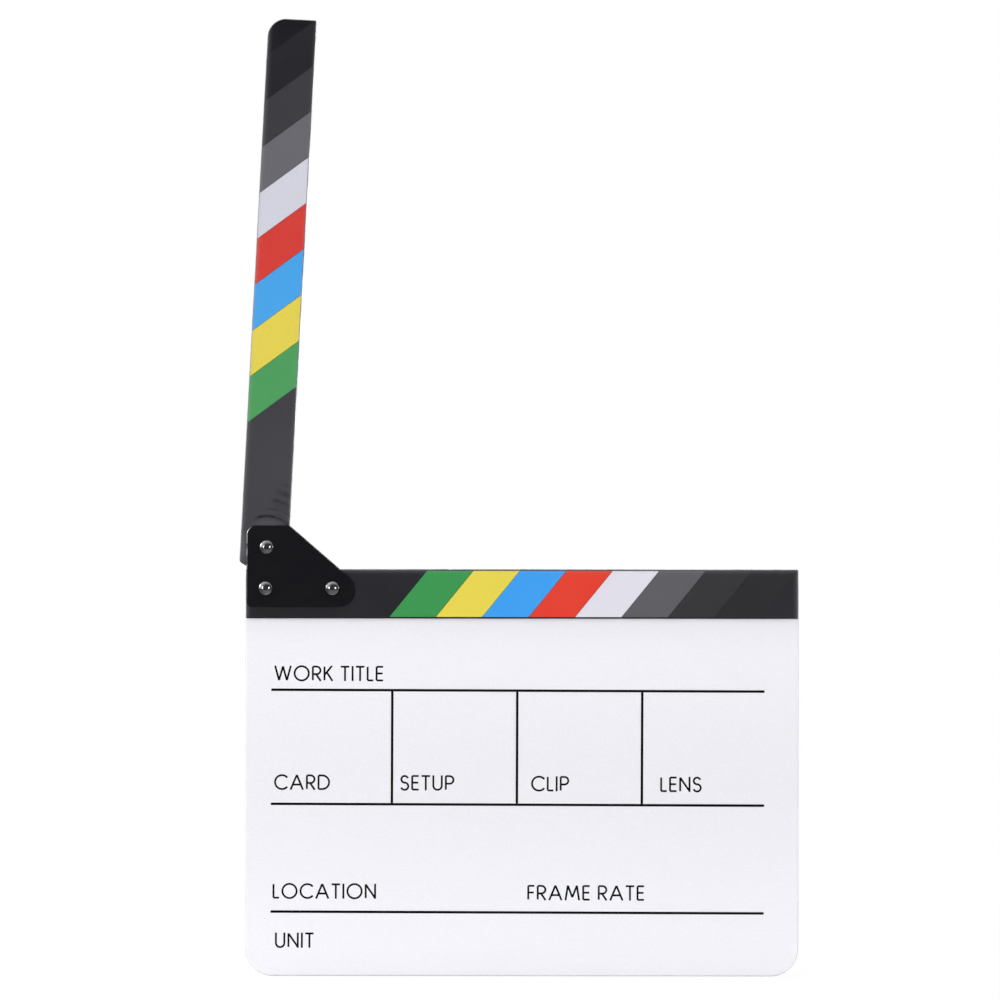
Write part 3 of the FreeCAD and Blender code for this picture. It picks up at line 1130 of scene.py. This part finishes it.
# Lock nuts: a hexagon nut on each screw, with a thin collar rolled over its locking ring.
# They are cold forged and tapped, chamfered at the corners and zinc plated.
nut_low, nut_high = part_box("lock_nuts")
nut_across_flats = 0.0070
nut_corner_radius = nut_across_flats / math.sqrt(3)
nut_hex_height = 0.0034
collar_radius = 0.00315
pocket_radius = 0.0026
bore_radius = 0.00205
lip_round = 0.00045
chamfer_radius = 0.0034
chamfer_slope = math.tan(math.radians(30))
nut_seat = nut_low.y
collar_seat = nut_seat + nut_hex_height
nut_end = nut_high.y

hexagon = peg(pivot_x, pivot_z, nut_corner_radius, nut_seat, collar_seat, hexagon_sides)
pivot_nut = named(hexagon, "pivot_lock_nut")
corner_drop = (nut_corner_radius - chamfer_radius) * chamfer_slope
chamfer_profile = [
    (chamfer_radius, nut_seat),
    (nut_corner_radius, nut_seat + corner_drop),
    (nut_corner_radius, collar_seat - corner_drop),
    (chamfer_radius, collar_seat),
]
carve(pivot_nut, turned("corner_chamfer", chamfer_profile), "INTERSECT")
lip = arc_profile(collar_radius - lip_round, nut_end - lip_round, lip_round, 90, 180, round_steps)
carve(pivot_nut, turned("collar", [(collar_radius, collar_seat - lip_round), *lip]), "UNION")
carve(pivot_nut, peg(pivot_x, pivot_z, pocket_radius, collar_seat, nut_end + cut_overrun, turned_sides))
drill(pivot_nut, pivot_x, pivot_z, bore_radius, nut_seat, nut_end, turned_sides)
mark_axis(pivot_nut)
smooth(pivot_nut)
pivot_nut.data.materials.append(bright_zinc)


# Locking rings: a ring of natural nylon pressed into the collar of each nut.
# They are punched from sheet, and grip the thread so that the nut stays put.
ring_dish = 0.0001
ring_profile = [
    (bore_radius, collar_seat),
    (pocket_radius, collar_seat),
    (pocket_radius, nut_end - lip_round),
    (pocket_radius - ring_dish, nut_end - lip_round + ring_dish),
    (bore_radius + ring_dish, nut_end - lip_round - ring_dish),
    (bore_radius, nut_end - lip_round - 2 * ring_dish),
]
pivot_ring = turned("pivot_locking_ring", ring_profile, ring=True)
smooth(pivot_ring)

nylon_pale = srgb(226, 224, 212)
nylon_deep = srgb(210, 208, 196)
nylon_relief = 0.00001
nylon, tree, shader, place = new_material("natural_nylon_ring")
milky = clouds(tree, place, scale=500.0, low=0.0, high=1.0)
waxy = clouds(tree, place, scale=900.0, low=0.42, high=0.58)
set_inputs(tree, shader, {
    "Base Color": blend_colours(tree, milky, nylon_pale, nylon_deep),
    "Roughness": waxy,
    "Normal": raised(tree, waxy, nylon_relief),
})
pivot_ring.data.materials.append(nylon)

# Each fixing screw's washer, nut and ring are copies of the pivot's own
for kind, first, node, slot_name in (
    ("washer", pivot_washer, "washers", "bright_zinc"),
    ("lock_nut", pivot_nut, "lock_nuts", "bright_zinc"),
    ("locking_ring", pivot_ring, "lock_nut_inserts", "natural_nylon"),
):
    for piece in copy_stack(first, kind):
        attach(piece, "slate")
        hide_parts(node)


# Stage: a plain white floor under the slate's bottom edge, in an even white room.
# Both are seen as plain white, and the floor keeps a part of the object's shadow. In mirrors the floor
# and the side of the room behind the camera are dim, so that flat black fronts stay black.
floor_radius = 6.0
floor_sides = 64
floor_white = srgb(244, 244, 246)
shadow_share = 0.1
shadow_near = 0.1
shadow_far = 0.6
mirrored_floor = 0.08
room_light = 0.49
dim_light = 0.03
dim_middle = (0.3, -0.92, -0.26)
dim_inner = math.cos(math.radians(60))
dim_outer = math.cos(math.radians(130))
plain_colour = (1.0, 1.0, 1.0, 1.0)


def seen_plainly(tree):
    """1 for what the camera sees, straight or in a mirror or through glass, and 0 for light itself."""
    path = tree.nodes.new("ShaderNodeLightPath").outputs
    mirrored = combine(tree, "MAXIMUM", path["Is Glossy Ray"], path["Is Transmission Ray"])
    return combine(tree, "MAXIMUM", path["Is Camera Ray"], mirrored)


def plain_strength(tree, in_mirrors):
    """1 for what the camera sees straight on, and the given value for what it sees in mirrors."""
    straight = tree.nodes.new("ShaderNodeLightPath").outputs["Is Camera Ray"]
    return combine(tree, "MAXIMUM", straight, in_mirrors)


def show_mix(tree, share, first, second, end):
    """Ends a node tree with one shader, and with a second one by its share."""
    mix = add_node(tree, "ShaderNodeMixShader", {0: share, 1: first.outputs[0], 2: second.outputs[0]})
    tree.links.new(mix.outputs["Shader"], tree.nodes[end].inputs["Surface"])


select_only()
bpy.ops.mesh.primitive_circle_add(vertices=floor_sides, radius=floor_radius, fill_type="NGON")
floor = named(bpy.context.object, "floor")
floor_paint, tree, shader, place = new_material("white_floor_paint")
set_inputs(tree, shader, {"Base Color": floor_white, "Roughness": 0.9, "Specular IOR Level": 0.0})
floor_seen = {"Color": plain_colour, "Strength": plain_strength(tree, mirrored_floor)}
floor_glow = add_node(tree, "ShaderNodeEmission", floor_seen)
floor_reach = combine_vectors(tree, "LENGTH", place)["Value"]
shadow_part = ramp(tree, floor_reach, shadow_near, shadow_far, 1 - shadow_share, 1.0, "SMOOTHSTEP")
white_share = combine(tree, "MULTIPLY", seen_plainly(tree), shadow_part)
show_mix(tree, white_share, shader, floor_glow, "Material Output")
floor.data.materials.append(floor_paint)

room = bpy.data.worlds.new("white_room")
room.use_nodes = True
bpy.context.scene.world = room
tree = room.node_tree
lit = tree.nodes["Background"]
set_inputs(tree, lit, {"Color": plain_colour, "Strength": room_light})
direction = tree.nodes.new("ShaderNodeTexCoord").outputs["Generated"]
frontward = combine_vectors(tree, "DOT_PRODUCT", direction, dim_middle)["Value"]
room_in_mirrors = ramp(tree, frontward, dim_outer, dim_inner, 1.0, dim_light, "SMOOTHSTEP")
room_seen = {"Color": plain_colour, "Strength": plain_strength(tree, room_in_mirrors)}
room_glow = add_node(tree, "ShaderNodeBackground", room_seen)
show_mix(tree, seen_plainly(tree), lit, room_glow, "World Output")


# Lamps: a softbox on each side at half a right angle, the left one stronger, as flat things are lit.
# One overhead lights the top edges and the floor and isn't mirrored, two small strips at the sides put
# glints on the screw heads and the plate's edge, and one behind lights the back.
light_target = Vector((0.0, 0.0, 0.1))


def softbox(name, place, width, height, power, mirrored=True):
    """A rectangular lamp that faces the middle of the slate, with its height upright."""
    data = bpy.data.lights.new(name, "AREA")
    data.shape = "RECTANGLE"
    data.size = width
    data.size_y = height
    data.energy = power
    lamp = bpy.data.objects.new(name, data)
    bpy.context.scene.collection.objects.link(lamp)
    lamp.location = place
    lamp.rotation_euler = (light_target - Vector(place)).to_track_quat("-Z", "Y").to_euler()
    lamp.visible_camera = False
    lamp.visible_glossy = mirrored


softbox("left_softbox", (-2.0, -1.9, 0.5), width=0.9, height=1.2, power=26.5)
softbox("right_softbox", (2.2, -2.0, 0.4), width=0.9, height=1.2, power=16.5)
softbox("top_softbox", (-0.2, -0.2, 2.4), width=1.2, height=0.8, power=24.0, mirrored=False)
softbox("left_strip", (-1.4, 0.1, 0.75), width=0.3, height=0.5, power=4.0)
softbox("right_strip", (1.4, 0.1, 0.35), width=0.2, height=0.3, power=1.6)
softbox("rear_softbox", (0.3, 2.6, 0.8), width=1.6, height=1.2, power=27.0)


# Camera: straight in front of the slate with a long lens, a little above the clap line.
# It leans by less than a tenth of a degree.
camera_distance = 3.0
frame_width = 0.53659
camera_x = -0.01193
camera_z = 0.2555
camera_lean = math.radians(-0.07)
sensor_width = 36.0
camera_data = bpy.data.cameras.new("camera")
camera_data.sensor_width = sensor_width
camera_data.lens = sensor_width * camera_distance / frame_width
camera = bpy.data.objects.new("camera", camera_data)
bpy.context.scene.collection.objects.link(camera)
camera.location = (camera_x, slate_face - camera_distance, camera_z)
camera.rotation_euler = (math.pi / 2, camera_lean, 0.0)
bpy.context.scene.camera = camera
bpy.context.scene.view_settings.view_transform = "Standard"
